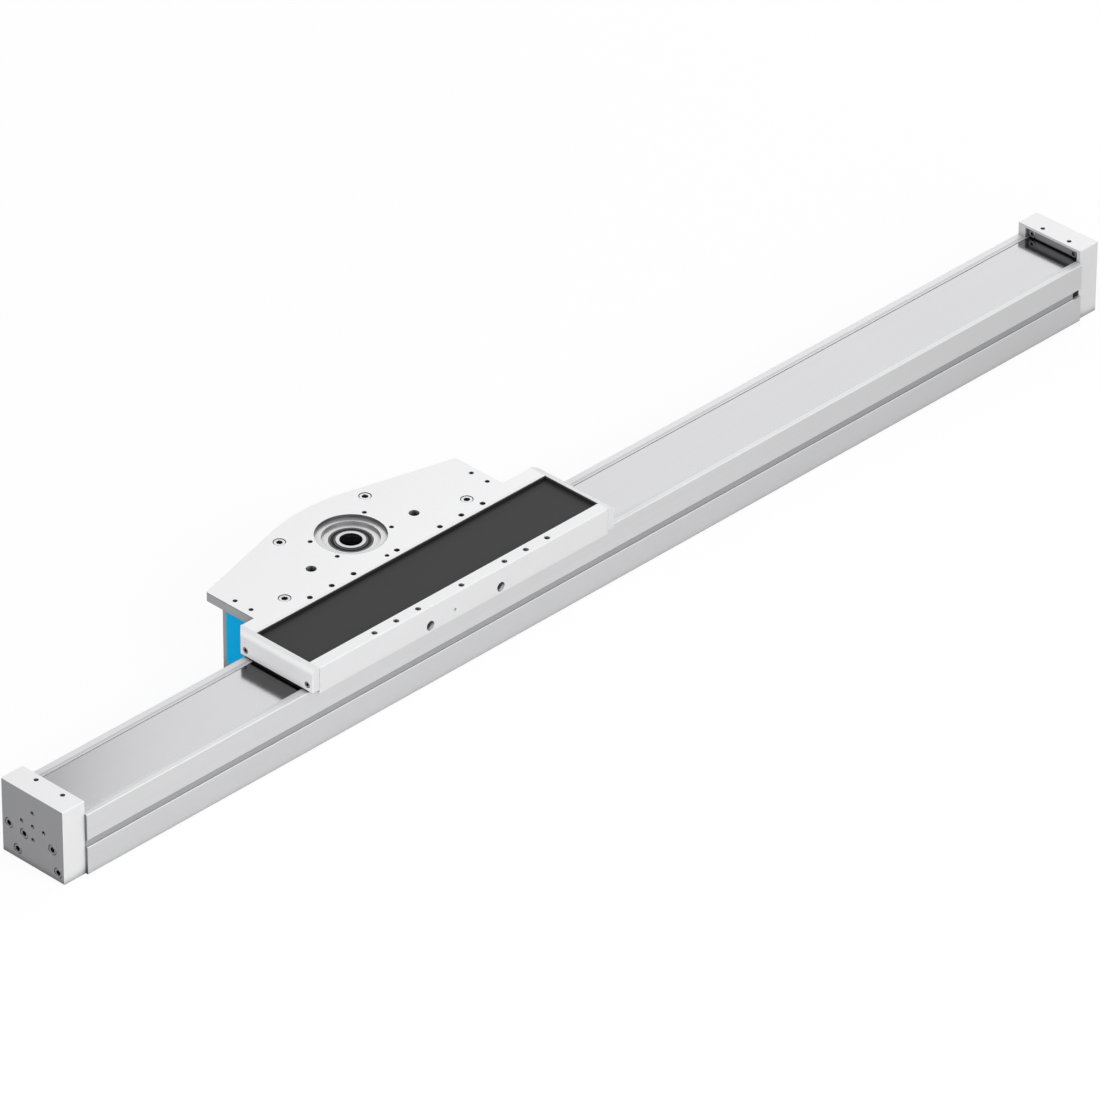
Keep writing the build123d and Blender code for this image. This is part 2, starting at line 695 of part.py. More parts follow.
with BuildPart() as drive_plate_top:
    with BuildSketch(Plane.XY.offset(z_plate)) as plate_face:
        y_corner = dome(y_seam, 0, plate_half_length)
        fillet(plate_face.vertices().filter_by(
            lambda point: abs(abs(point.X) - plate_half_length) < 0.01 and abs(point.Y - y_corner) < 0.01),
            plate_corner_round)
        with Locations(((body_left + body_right) / 2, (y_seam + y_head_back) / 2)):
            Rectangle(body_right - body_left, y_head_back - y_seam)
    extrude(amount=plate_thickness)
    chamfer(drive_plate_top.faces().sort_by(Axis.Z)[-1].edges().filter_by(
        lambda edge: edge.center().Y > y_head_back - 0.01), plate_edge)
    rod(0, 0, z_upper_bearing - seat_lip, z_plate + seat_lip, boss_diameter)
    rod(0, 0, -pilot_depth, 0, pilot_bore, mode=Mode.SUBTRACT)
    rod(0, 0, -step_depth, 0, step_bore, mode=Mode.SUBTRACT)
    rod(0, 0, z_upper_bearing, 0, bearing_outer, mode=Mode.SUBTRACT)
    rod(0, 0, z_upper_bearing - seat_lip, 0, bearing_outer - 2 * bearing_lip, mode=Mode.SUBTRACT)
    with GridLocations(flange_hole_x, flange_hole_y, 2, 2):
        Hole(flange_hole / 2, depth=plate_thickness)
    with Locations(*[(side * centring_hole_spacing / 2, centring_hole_y, 0) for side in (-1, 1)]):
        Hole(centring_hole / 2, depth=plate_thickness)
    x_end_hole = plate_half_length - plate_end_hole_inset
    with Locations(*[(side * x_end_hole, y, 0) for y in plate_end_holes_y for side in (-1, 1)]):
        Hole(plate_end_hole / 2, depth=plate_thickness)
    with Locations(*[(head_offset + offset, y_rows[1], 0) for offset in row_offsets]):
        Hole(row_hole / 2, depth=plate_thickness)
    with Locations((pin_hole_x, y_rows[1], 0)):
        Hole(pin_hole / 2, depth=plate_thickness)
    with Locations(*[(x, y, 0) for x, y in plate_screw_spots]):
        CounterBoreHole(plate_screw_shank / 2 + screw_gap, plate_screw_bore / 2, plate_screw_sink,
                        depth=plate_thickness)
    for x in tie_screw_x:
        rod(x, y_tie, z_plate, z_plate + tie_screw_grip, tie_screw_shank + 2 * screw_gap, mode=Mode.SUBTRACT)
    for x in (-x_idler, x_idler):
        rod(x, y_idler, z_plate, z_plate + axle_seat_depth, axle_diameter, mode=Mode.SUBTRACT)
finish(drive_plate_top, "drive_plate_top")

with BuildPart() as drive_plate_bottom:
    with BuildSketch(Plane.XY.offset(z_bottom)):
        dome(y_back + bottom_plate_gap, housing_inset, housing_half_length)
        with Locations(*plate_screw_spots):
            Circle(boss_radius)
    extrude(amount=plate_thickness)
    chamfer(drive_plate_bottom.faces().sort_by(Axis.Z)[0].edges(), plate_edge)
    rod(0, 0, z_lower_bearing, z_bottom_top, bearing_outer, mode=Mode.SUBTRACT)
    rod(0, 0, z_bottom, z_lower_bearing, bearing_outer - 2 * bearing_lip, mode=Mode.SUBTRACT)
    for x, y in plate_screw_spots:
        rod(x, y, z_bottom, z_bottom_top, plate_screw_shank + 2 * screw_gap, mode=Mode.SUBTRACT)
        rod(x, y, z_bottom, z_bottom + plate_screw_sink, plate_screw_bore, mode=Mode.SUBTRACT)
    for x in (-x_idler, x_idler):
        rod(x, y_idler, z_bottom_top - axle_seat_depth, z_bottom_top, axle_diameter, mode=Mode.SUBTRACT)
finish(drive_plate_bottom, "drive_plate_bottom")

# Housing wall between the plates: open at both ends for the guards, with a window for the belt

x_guard = housing_half_length - guard_thickness
with BuildPart() as drive_housing:
    with BuildSketch(Plane.XY.offset(z_bottom_top)):
        dome(y_wall, housing_inset, housing_half_length)
        with Locations(*plate_screw_spots):
            Circle(boss_radius)
    extrude(amount=housing_height)
    with BuildSketch(Plane.XY.offset(z_bottom_top)):
        dome(y_wall + wall_thickness, housing_inset + wall_thickness, plate_half_length)
        for side in (-1, 1):
            with Locations((side * (x_guard - wall_thickness / 2), 0)):
                Rectangle(wall_thickness, 4 * plate_crown_reach, mode=Mode.SUBTRACT)
        with Locations(*plate_screw_spots):
            Circle(boss_radius, mode=Mode.SUBTRACT)
    extrude(amount=housing_height, mode=Mode.SUBTRACT)
    for side in (-1, 1):
        box_between(side * x_guard, side * plate_half_length, y_wall - 1, y_wall + wall_thickness + 1,
                    z_bottom_top, z_plate, mode=Mode.SUBTRACT)
    box_between(-window_half_length, window_half_length, y_wall - 1, y_wall + wall_thickness + 1,
                z_bottom_top, z_base + window_top_height, mode=Mode.SUBTRACT)
    with Locations(*[(x, y, z_plate) for x, y in plate_screw_spots]):
        Hole(plate_screw_shank / 2 + screw_gap, depth=housing_height)
    for x in (-x_idler, x_idler):
        rod(x, y_idler, z_bottom_top, z_plate, axle_shoulder + 2 * guide_gap, mode=Mode.SUBTRACT)
finish(drive_housing, "drive_housing")

for side, label in ((-1, "belt_guard_left"), (1, "belt_guard_right")):
    with BuildPart() as belt_guard:
        with BuildSketch(Plane.XY.offset(z_bottom_top + seat_gap)):
            dome(y_wall, housing_inset + wall_thickness + seat_gap, housing_half_length)
            with Locations((side * (x_guard + seat_gap - plate_half_length), 0)):
                Rectangle(2 * plate_half_length, 4 * plate_crown_reach, mode=Mode.SUBTRACT)
        extrude(amount=housing_height - 2 * seat_gap)
        box_between(side * (x_guard + seat_gap), side * housing_half_length, y_back + guard_gap,
                    y_wall + wall_thickness, z_bottom_top + seat_gap, z_base + tongue_top_height)
        fillet(belt_guard.edges().filter_by(Axis.Z).filter_by(
            lambda edge: abs(edge.center().Y - y_back - guard_gap) < 0.01
            and abs(abs(edge.center().X) - housing_half_length) < 0.01), guard_round)
    finish(belt_guard, label)

with BuildPart() as plate_screws_top:
    for x, y in plate_screw_spots:
        socket_screw((x, y, -plate_screw_sink), (0, 0, 1), plate_screw_shank,
                     plate_thickness - plate_screw_sink + plate_screw_grip,
                     plate_screw_head, plate_screw_head_height)
finish(plate_screws_top, "plate_screws_top")

with BuildPart() as plate_screws_bottom:
    for x, y in plate_screw_spots:
        socket_screw((x, y, z_bottom + plate_screw_sink), (0, 0, -1), plate_screw_shank,
                     plate_thickness - plate_screw_sink + plate_screw_grip,
                     plate_screw_head, plate_screw_head_height)
finish(plate_screws_bottom, "plate_screws_bottom")

# Toothed belt: both ends clamped in the caps, toothed side to the profile, round two idlers and
# over the pulley between them. A place on the belt is counted from the crown of the pulley.

centre_distance = hypot(x_idler, y_idler)
half_wrap = atan2(-y_idler, x_idler) + asin((pitch_radius + idler_pitch_radius) / centre_distance)
free_length = centre_distance * cos(asin((pitch_radius + idler_pitch_radius) / centre_distance))
idler_start = pitch_radius * half_wrap + free_length
run_start = idler_start + idler_pitch_radius * half_wrap


def belt_point(along, off):
    """The point at a length along the belt, moved off its pitch line to the toothed side."""
    side = 1 if along >= 0 else -1
    length = abs(along)
    if length <= pitch_radius * half_wrap:
        angle = length / pitch_radius
        place = (pitch_radius * sin(angle), pitch_radius * cos(angle))
    elif length <= idler_start:
        angle = half_wrap
        rest = length - pitch_radius * half_wrap
        place = (pitch_radius * sin(angle) + rest * cos(angle), pitch_radius * cos(angle) - rest * sin(angle))
    elif length <= run_start:
        angle = half_wrap - (length - idler_start) / idler_pitch_radius
        place = (x_idler - idler_pitch_radius * sin(angle), y_idler - idler_pitch_radius * cos(angle))
    else:
        angle = 0
        place = (x_idler + length - run_start, y_pitch)
    return side * (place[0] - off * sin(angle)), place[1] - off * cos(angle)


tooth_tip = tooth_root - 2 * tooth_height / tan(radians(tooth_flank_angle))
belt_left = -(run_start - x_left + belt_tail - x_idler)
belt_right = run_start + x_right + belt_tail - x_idler
half_body = belt_body / 2
toothed_side = [belt_point(belt_left, half_body)]
for index in range(ceil((belt_left + tooth_root) / belt_pitch), floor((belt_right - tooth_root) / belt_pitch) + 1):
    middle = index * belt_pitch
    toothed_side += [belt_point(middle - tooth_root / 2, half_body),
                     belt_point(middle - tooth_tip / 2, half_body + tooth_height),
                     belt_point(middle + tooth_tip / 2, half_body + tooth_height),
                     belt_point(middle + tooth_root / 2, half_body)]
toothed_side.append(belt_point(belt_right, half_body))
pulley_end = pitch_radius * half_wrap
with BuildPart() as toothed_belt:
    with BuildSketch(Plane.XY.offset(z_belt - belt_width / 2)):
        with BuildLine():
            Polyline(*toothed_side)
            Polyline(belt_point(belt_left, half_body), belt_point(belt_left, -half_body),
                     belt_point(-run_start, -half_body))
            Polyline(belt_point(belt_right, half_body), belt_point(belt_right, -half_body),
                     belt_point(run_start, -half_body))
            for start, end in ((-run_start, -idler_start), (-pulley_end, pulley_end), (idler_start, run_start)):
                ThreePointArc(belt_point(start, -half_body), belt_point((start + end) / 2, -half_body),
                              belt_point(end, -half_body))
            for start, end in ((-idler_start, -pulley_end), (pulley_end, idler_start)):
                Line(belt_point(start, -half_body), belt_point(end, -half_body))
        make_face()
    extrude(amount=belt_width)
finish(toothed_belt, "toothed_belt")

# Pulley with its shaft, its bearings and the idlers

land_radius = pitch_radius - half_body - running_fit
groove_bottom = land_radius - tooth_height - tooth_clearance
groove_width = tooth_root + tooth_clearance
z_shaft_top = -hub_drop
z_shaft_bottom = z_lower_bearing - hub_end
with BuildPart() as drive_pulley:
    with BuildSketch(Plane.XY.offset(z_belt - pulley_width / 2)):
        Circle(land_radius)
        with PolarLocations((land_radius + groove_bottom) / 2, pulley_teeth, start_angle=90):
            Rectangle(land_radius - groove_bottom, groove_width, mode=Mode.SUBTRACT)
    extrude(amount=pulley_width)
    rod(0, 0, z_bottom_top, z_upper_bearing, hub_shoulder)
    rod(0, 0, z_shaft_bottom, z_shaft_top, bearing_bore)
    rod(0, 0, z_shaft_bottom, z_shaft_top, hub_bore, mode=Mode.SUBTRACT)
finish(drive_pulley, "drive_pulley")

with BuildPart() as pulley_flanges:
    for z_flange in (z_belt - pulley_width / 2 - flange_thickness, z_belt + pulley_width / 2):
        rod(0, 0, z_flange, z_flange + flange_thickness, 2 * flange_radius)
    rod(0, 0, z_bottom_top, z_plate, hub_shoulder, mode=Mode.SUBTRACT)
finish(pulley_flanges, "pulley_flanges")


def bearing_ring_part(z_low, outer, inner, label):
    """One ring of a bearing that stands on z_low."""
    with BuildPart() as ring:
        rod(0, 0, z_low, z_low + bearing_width, outer)
        rod(0, 0, z_low, z_low + bearing_width, inner, mode=Mode.SUBTRACT)
        chamfer(ring.edges().filter_by(GeomType.CIRCLE), bearing_edge)
    finish(ring, label)


for name, z_low in (("upper", z_upper_bearing), ("lower", z_lower_bearing)):
    bearing_ring_part(z_low, bearing_outer, bearing_outer - 2 * bearing_ring, f"bearing_outer_{name}")
    bearing_ring_part(z_low, bearing_bore + 2 * bearing_ring, bearing_bore, f"bearing_inner_{name}")

with BuildPart() as bearing_seals:
    for z_low in (z_upper_bearing, z_lower_bearing):
        rod(0, 0, z_low + seal_recess, z_low + bearing_width - seal_recess, bearing_outer - 2 * bearing_ring)
        rod(0, 0, z_low, z_low + bearing_width, bearing_bore + 2 * bearing_ring + 2 * guide_gap, mode=Mode.SUBTRACT)
finish(bearing_seals, "bearing_seals")

z_idler = (z_belt - idler_width / 2, z_belt + idler_width / 2)
for side, x in (("left", -x_idler), ("right", x_idler)):
    with BuildPart() as idler_roller:
        rod(x, y_idler, z_idler[0], z_idler[1], 2 * (idler_radius - running_fit))
        rod(x, y_idler, z_idler[0], z_idler[1], idler_bore, mode=Mode.SUBTRACT)
    finish(idler_roller, f"idler_roller_{side}")
    with BuildPart() as idler_bearings:
        for z_low in (z_idler[0], z_idler[1] - idler_bearing_width):
            rod(x, y_idler, z_low, z_low + idler_bearing_width, idler_bore)
            rod(x, y_idler, z_low, z_low + idler_bearing_width, axle_diameter + 2 * running_fit, mode=Mode.SUBTRACT)
    finish(idler_bearings, f"idler_bearings_{side}")
    with BuildPart() as idler_axle:
        rod(x, y_idler, z_bottom_top - axle_seat_depth, z_plate + axle_seat_depth, axle_diameter)
        rod(x, y_idler, z_bottom_top, z_idler[0] - idler_end_gap, axle_shoulder)
        rod(x, y_idler, z_idler[1] + idler_end_gap, z_plate, axle_shoulder)
    finish(idler_axle, f"idler_axle_{side}")

# End caps: each holds one end of the strip and of the belt, and carries the payload

cap_screw_spots = [(y_front + depth, z_base + height) for depth, height in cap_screw_places]
y_tension = y_front + tension_screw_depth
z_clamp_top = z_base + clamp_pocket_height
z_clamp_floor = z_top - strip_recess_depth
z_payload = z_base + payload_height
payload_spots = [(y_cap_middle, z_payload)] + [
    (y_cap_middle + payload_pcd / 2 * cos(turn * pi / 2), z_payload + payload_pcd / 2 * sin(turn * pi / 2))
    for turn in range(4)]
belt_room = belt_width / 2 + belt_clamp_side + seat_gap
clamp_screw_spots = [(y_guide + side * clamp_screw_spacing / 2, z_base + clamp_screw_height) for side in (-1, 1)]
cap_ends = (("left", x_left, -1), ("right", x_right, 1))

for side, x_face, outward in cap_ends:
    x_outer = x_face + outward * cap_depth
    with BuildPart() as end_cap:
        box_between(x_face, x_outer, y_cap_front, y_cap_back, z_base, z_base + cap_height)
        fillet(end_cap.edges().filter_by(
            lambda edge: abs(edge.center().X - x_face) > 0.01), cap_round)
        box_between(x_face, x_face + outward * clamp_pocket_depth, y_guide - clamp_pocket_width / 2,
                    y_guide + clamp_pocket_width / 2, z_clamp_floor, z_clamp_top, mode=Mode.SUBTRACT)
        box_between(x_face, x_face + outward * belt_pocket_depth, y_cap_back - belt_clamp_width - seat_gap,
                    y_cap_back, z_belt - belt_room, z_belt + belt_room, mode=Mode.SUBTRACT)
        for y, z in cap_screw_spots + [(y_tension, z_belt)]:
            rod_along_x(y, z, x_face, x_outer, cap_screw_shank + 2 * screw_gap, mode=Mode.SUBTRACT)
            rod_along_x(y, z, x_outer - outward * cap_screw_sink, x_outer, cap_screw_bore, mode=Mode.SUBTRACT)
        for y, z in payload_spots:
            rod_along_x(y, z, x_outer - outward * payload_hole_depth, x_outer, payload_hole, mode=Mode.SUBTRACT)
        for y, z in clamp_screw_spots:
            rod_along_x(y, z, x_face, x_face + outward * (clamp_pocket_depth + clamp_screw_grip),
                        clamp_screw_shank + 2 * screw_gap, mode=Mode.SUBTRACT)
        for y in (y_guide - cap_top_hole_spacing / 2, y_guide + cap_top_hole_spacing / 2):
            rod(x_outer - outward * cap_top_hole_in, y, z_clamp_floor + 1, z_base + cap_height, cap_top_hole,
                mode=Mode.SUBTRACT)
    finish(end_cap, f"end_cap_{side}")

    x_clamp = x_face + outward * clamp_recess
    with BuildPart() as strip_clamp:
        box_between(x_clamp, x_face + outward * clamp_pocket_depth, y_guide - clamp_pocket_width / 2 + seat_gap,
                    y_guide + clamp_pocket_width / 2 - seat_gap, z_strip + strip_thickness / 2,
                    z_clamp_top - seat_gap)
        fillet(strip_clamp.edges().filter_by(Axis.Y).filter_by(
            lambda edge: abs(edge.center().X - x_clamp) < 0.01).sort_by(Axis.Z)[0], clamp_round)
        for y, z in clamp_screw_spots:
            rod_along_x(y, z, x_clamp, x_face + outward * clamp_pocket_depth,
                        clamp_screw_shank + 2 * screw_gap, mode=Mode.SUBTRACT)
            rod_along_x(y, z, x_clamp, x_clamp + outward * clamp_screw_head_sink,
                        clamp_screw_head + 2 * seat_gap, mode=Mode.SUBTRACT)
    finish(strip_clamp, f"strip_clamp_{side}")

    with BuildPart() as strip_clamp_screws:
        for y, z in clamp_screw_spots:
            socket_screw((x_clamp + outward * clamp_screw_head_sink, y, z), (-outward, 0, 0), clamp_screw_shank,
                         clamp_pocket_depth - clamp_recess - clamp_screw_head_sink + clamp_screw_grip - 1,
                         clamp_screw_head, clamp_screw_head_height)
    finish(strip_clamp_screws, f"strip_clamp_screws_{side}")

    with BuildPart() as cap_screws:
        for y, z in cap_screw_spots:
            socket_screw((x_outer - outward * cap_screw_sink, y, z), (outward, 0, 0), cap_screw_shank,
                         cap_depth - cap_screw_sink + cap_screw_grip, cap_screw_head, cap_screw_head_height)
    finish(cap_screws, f"cap_screws_{side}")

    x_clamp_end = x_face + outward * (belt_pocket_depth - belt_clamp_gap)
    with BuildPart() as belt_clamp:
        box_between(x_face + outward * belt_clamp_gap, x_clamp_end, y_cap_back - belt_clamp_width,
                    y_cap_back - belt_clamp_inset, z_belt - belt_room + seat_gap, z_belt + belt_room - seat_gap)
        box_between(x_face, x_face + outward * (belt_tail + seat_gap),
                    y_belt_back - belt_body - tooth_height - seat_gap, y_belt_back + seat_gap,
                    z_belt - belt_width / 2 - seat_gap, z_belt + belt_width / 2 + seat_gap, mode=Mode.SUBTRACT)
        rod_along_x(y_tension, z_belt, x_clamp_end - outward * tension_screw_grip, x_clamp_end,
                    cap_screw_shank + 2 * screw_gap, mode=Mode.SUBTRACT)
    finish(belt_clamp, f"belt_clamp_{side}")

with BuildPart() as tension_screws:
    for side, x_face, outward in cap_ends:
        x_seat = x_face + outward * (cap_depth - cap_screw_sink)
        tension_length = cap_depth - cap_screw_sink - belt_pocket_depth + belt_clamp_gap + tension_screw_grip - 1
        socket_screw((x_seat, y_tension, z_belt), (outward, 0, 0), cap_screw_shank, tension_length,
                     cap_screw_head, cap_screw_head_height)
finish(tension_screws, "tension_screws")
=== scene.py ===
import bpy
import json
import math
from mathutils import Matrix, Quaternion, Vector


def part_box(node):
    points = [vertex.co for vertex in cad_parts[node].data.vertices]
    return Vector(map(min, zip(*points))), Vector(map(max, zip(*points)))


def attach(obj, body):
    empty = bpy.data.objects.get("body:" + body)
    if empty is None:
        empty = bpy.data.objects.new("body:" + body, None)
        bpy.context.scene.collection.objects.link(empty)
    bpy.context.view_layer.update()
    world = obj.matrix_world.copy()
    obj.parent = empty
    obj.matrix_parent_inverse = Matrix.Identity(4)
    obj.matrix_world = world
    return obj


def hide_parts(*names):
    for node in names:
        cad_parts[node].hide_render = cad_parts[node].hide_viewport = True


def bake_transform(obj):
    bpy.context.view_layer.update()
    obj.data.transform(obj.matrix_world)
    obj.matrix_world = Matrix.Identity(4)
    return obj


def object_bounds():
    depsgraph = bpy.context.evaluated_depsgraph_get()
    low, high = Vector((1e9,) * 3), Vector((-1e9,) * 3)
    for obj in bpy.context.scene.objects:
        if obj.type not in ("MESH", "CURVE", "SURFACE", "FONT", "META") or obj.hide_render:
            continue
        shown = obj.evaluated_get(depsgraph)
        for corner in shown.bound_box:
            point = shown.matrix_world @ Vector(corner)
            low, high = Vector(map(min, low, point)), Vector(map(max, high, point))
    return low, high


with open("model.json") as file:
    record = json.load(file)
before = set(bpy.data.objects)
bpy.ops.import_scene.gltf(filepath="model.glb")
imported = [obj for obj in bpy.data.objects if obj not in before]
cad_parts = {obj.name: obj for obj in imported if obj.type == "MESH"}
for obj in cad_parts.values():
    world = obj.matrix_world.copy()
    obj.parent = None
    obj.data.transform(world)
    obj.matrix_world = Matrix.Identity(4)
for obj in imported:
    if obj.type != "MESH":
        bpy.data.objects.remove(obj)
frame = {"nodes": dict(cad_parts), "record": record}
cadBox = [list(corner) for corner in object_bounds()]
bpy.ops.object.select_all(action="DESELECT")
scene = bpy.context.scene
scene.view_settings.view_transform = "Standard"
nodes = frame["nodes"]
print("frame loaded with", len(nodes), "nodes")


# Small helpers for node trees

def feed(tree, value, socket):
    # a number or a triple is set on the socket, an output is linked to it
    if isinstance(value, (int, float, tuple)):
        socket.default_value = value
    else:
        tree.links.new(value, socket)


def newGroup(name, inputs, outputs):
    group = bpy.data.node_groups.new(name, "ShaderNodeTree")
    for label, value in inputs.items():
        kind = "NodeSocketVector" if isinstance(value, tuple) else "NodeSocketFloat"
        socket = group.interface.new_socket(label, in_out="INPUT", socket_type=kind)
        socket.default_value = value
    for label in outputs:
        kind = "NodeSocketVector" if label == "Normal" else "NodeSocketFloat"
        group.interface.new_socket(label, in_out="OUTPUT", socket_type=kind)
    return group, group.nodes.new("NodeGroupInput"), group.nodes.new("NodeGroupOutput")


def mathNode(tree, operation, first, second=0.0):
    node = tree.nodes.new("ShaderNodeMath")
    node.operation = operation
    feed(tree, first, node.inputs[0])
    feed(tree, second, node.inputs[1])
    return node.outputs[0]


def vectorNode(tree, operation, first, second=None, scale=None):
    node = tree.nodes.new("ShaderNodeVectorMath")
    node.operation = operation
    for value, socket in ((first, 0), (second, 1), (scale, "Scale")):
        if value is not None:
            feed(tree, value, node.inputs[socket])
    return node.outputs["Value" if operation in ("DOT_PRODUCT", "LENGTH") else "Vector"]


def noiseNode(tree, vector, scale, detail):
    node = tree.nodes.new("ShaderNodeTexNoise")
    feed(tree, vector, node.inputs["Vector"])
    feed(tree, scale, node.inputs["Scale"])
    feed(tree, detail, node.inputs["Detail"])
    return node.outputs["Fac"]


def rampNode(tree, value, start, end, low=0.0, high=1.0, kind="SMOOTHSTEP"):
    # low up to start, high from end on
    node = tree.nodes.new("ShaderNodeMapRange")
    node.interpolation_type = kind
    given = {"Value": value, "From Min": start, "From Max": end, "To Min": low, "To Max": high}
    for label, source in given.items():
        feed(tree, source, node.inputs[label])
    return node.outputs["Result"]


def mixValue(tree, factor, first, second):
    node = tree.nodes.new("ShaderNodeMix")
    for label, value in (("Factor", factor), ("A", first), ("B", second)):
        feed(tree, value, node.inputs[label])
    return node.outputs["Result"]


def pathMask(tree, *kinds):
    # 1 for the kinds of ray that are named, 0 for all others
    path = tree.nodes.new("ShaderNodeLightPath")
    mask = path.outputs[kinds[0]]
    for kind in kinds[1:]:
        mask = mathNode(tree, "MAXIMUM", mask, path.outputs[kind])
    return mask


# Camera: the photograph's long lens, from above the left end and the guide side
cameraView = {
    "azimuth": -45.878,
    "elevation": 32.860,
    "roll": 0.3135,
    "distance": 7.594,
    "aim": (0.12165, -0.10563, -0.023),
    "lens": 307.5,
    "sensor": 36,
    "nearest": 0.1,
    "farthest": 40,
}


def makeCamera():
    turn, rise, roll = (math.radians(cameraView[angle]) for angle in ("azimuth", "elevation", "roll"))
    back = Vector((math.sin(turn) * math.cos(rise), -math.cos(turn) * math.cos(rise), math.sin(rise)))
    bpy.ops.object.camera_add(location=Vector(cameraView["aim"]) + back * cameraView["distance"])
    camera = bpy.context.object
    camera.name = "photoCamera"
    camera.rotation_mode = "QUATERNION"
    camera.rotation_quaternion = back.to_track_quat("Z", "Y") @ Quaternion((0, 0, 1), roll)
    camera.data.lens = cameraView["lens"]
    camera.data.sensor_width = cameraView["sensor"]
    camera.data.clip_start = cameraView["nearest"]
    camera.data.clip_end = cameraView["farthest"]
    scene.camera = camera


# Light: a soft panel behind, which the strip mirrors to the camera, one in front, one at the left, and a pale
# room around them
studioLight = {
    "panels": {
        "mirrorPanel": {"place": (2.53, 1.05, 1.60), "size": (2.8, 1.7), "power": 25},
        "frontPanel": {"place": (-0.25, -1.55, 0.76), "size": (1.8, 1.2), "power": 18},
        "sidePanel": {"place": (-4.4, 0.3, 1.4), "size": (2.4, 2.0), "power": 66},
    },
    "aim": (0.12, -0.08, -0.03),
    "roomGrey": 0.40,    # the room's strength as a light
    "roomSeen": 1.0,     # its strength for the camera and in reflections
}


def addPanel(name, facts):
    bpy.ops.object.light_add(type="AREA", location=facts["place"])
    panel = bpy.context.object
    panel.name = name
    panel.data.shape = "RECTANGLE"
    panel.data.size, panel.data.size_y = facts["size"]
    panel.data.energy = facts["power"]
    away = Vector(facts["place"]) - Vector(studioLight["aim"])
    panel.rotation_euler = away.to_track_quat("Z", "Y").to_euler()
    panel.visible_camera = False


def makeRoom():
    world = bpy.data.worlds.new("paleRoom")
    world.use_nodes = True
    tree = world.node_tree
    background = tree.nodes["Background"]
    background.inputs["Color"].default_value = (1, 1, 1, 1)
    seen = pathMask(tree, "Is Camera Ray", "Is Glossy Ray", "Is Transmission Ray")
    strength = mixValue(tree, seen, studioLight["roomGrey"], studioLight["roomSeen"])
    feed(tree, strength, background.inputs["Strength"])
    scene.world = world


# Floor: grey paper that lights the underside plainly, and shows the camera a white sheet with a shadow on it
floorPaper = {
    "size": 14,
    "middle": (0.1, -0.08),
    "drop": 0.0002,        # just below the part
    "grey": 0.5,
    "white": 0.95,
    "rough": 0.9,
    "glow": 1.04,
    "glowShare": 0.85,     # the rest of what the camera sees is the lit paper
}


def makeFloor():
    low = cadBox[0][2] - floorPaper["drop"]
    bpy.ops.mesh.primitive_plane_add(size=floorPaper["size"], location=(*floorPaper["middle"], low))
    floor = bpy.context.object
    floor.name = "studioFloor"
    material = bpy.data.materials.new("floorPaper")
    material.use_nodes = True
    tree = material.node_tree
    paper = tree.nodes["Principled BSDF"]
    colour = mixValue(tree, pathMask(tree, "Is Camera Ray"), floorPaper["grey"], floorPaper["white"])
    feed(tree, colour, paper.inputs["Base Color"])
    paper.inputs["Roughness"].default_value = floorPaper["rough"]
    glow = tree.nodes.new("ShaderNodeEmission")
    glow.inputs["Strength"].default_value = floorPaper["glow"]
    blend = tree.nodes.new("ShaderNodeMixShader")
    share = mathNode(tree, "MULTIPLY", pathMask(tree, "Is Camera Ray"), floorPaper["glowShare"])
    feed(tree, share, blend.inputs["Fac"])
    feed(tree, paper.outputs["BSDF"], blend.inputs[1])
    feed(tree, glow.outputs["Emission"], blend.inputs[2])
    feed(tree, blend.outputs[0], tree.nodes["Material Output"].inputs["Surface"])
    floor.data.materials.append(material)


makeCamera()
for name, facts in studioLight["panels"].items():
    addPanel(name, facts)
makeRoom()
makeFloor()
print("camera and studio set")


# Shared effects, each a node group that is built once

noiseMiddle = 0.5    # what a noise averages

grainNoise = {
    "detail": 3.0,
    "relief": 0.0002,
    "fineShare": 0.5,
    "streakShare": 0.5,
    "streakScale": 0.14,
}


def makeGrainGroup():
    # fine unevenness: a stretched noise for drawn, rolled or blasted surfaces, with broader streaks of tone
    group, given, put = newGroup("metalGrain", {"Stretch": (1.0, 1.0, 1.0), "Depth": 0.1, "Spread": 0.1},
                                 ("Shade", "Rough", "Normal"))
    place = group.nodes.new("ShaderNodeTexCoord")
    stretch = group.nodes.new("ShaderNodeMapping")
    feed(group, place.outputs["Object"], stretch.inputs["Vector"])
    feed(group, given.outputs["Stretch"], stretch.inputs["Scale"])
    fine = noiseNode(group, stretch.outputs["Vector"], 1.0, grainNoise["detail"])
    broad = vectorNode(group, "SCALE", stretch.outputs["Vector"], scale=grainNoise["streakScale"])
    streaks = noiseNode(group, broad, 1.0, grainNoise["detail"])
    bump = group.nodes.new("ShaderNodeBump")
    bump.inputs["Distance"].default_value = grainNoise["relief"]
    feed(group, fine, bump.inputs["Height"])
    feed(group, given.outputs["Depth"], bump.inputs["Strength"])
    both = mathNode(group, "ADD", mathNode(group, "MULTIPLY", fine, grainNoise["fineShare"]),
                    mathNode(group, "MULTIPLY", streaks, grainNoise["streakShare"]))
    centred = mathNode(group, "SUBTRACT", both, noiseMiddle)
    spread = mathNode(group, "MULTIPLY", centred, given.outputs["Spread"])
    feed(group, mathNode(group, "ADD", spread, 1.0), put.inputs["Shade"])
    feed(group, spread, put.inputs["Rough"])
    feed(group, bump.outputs["Normal"], put.inputs["Normal"])
    return group


cloudNoise = {"detail": 4.0, "size": 8.0}


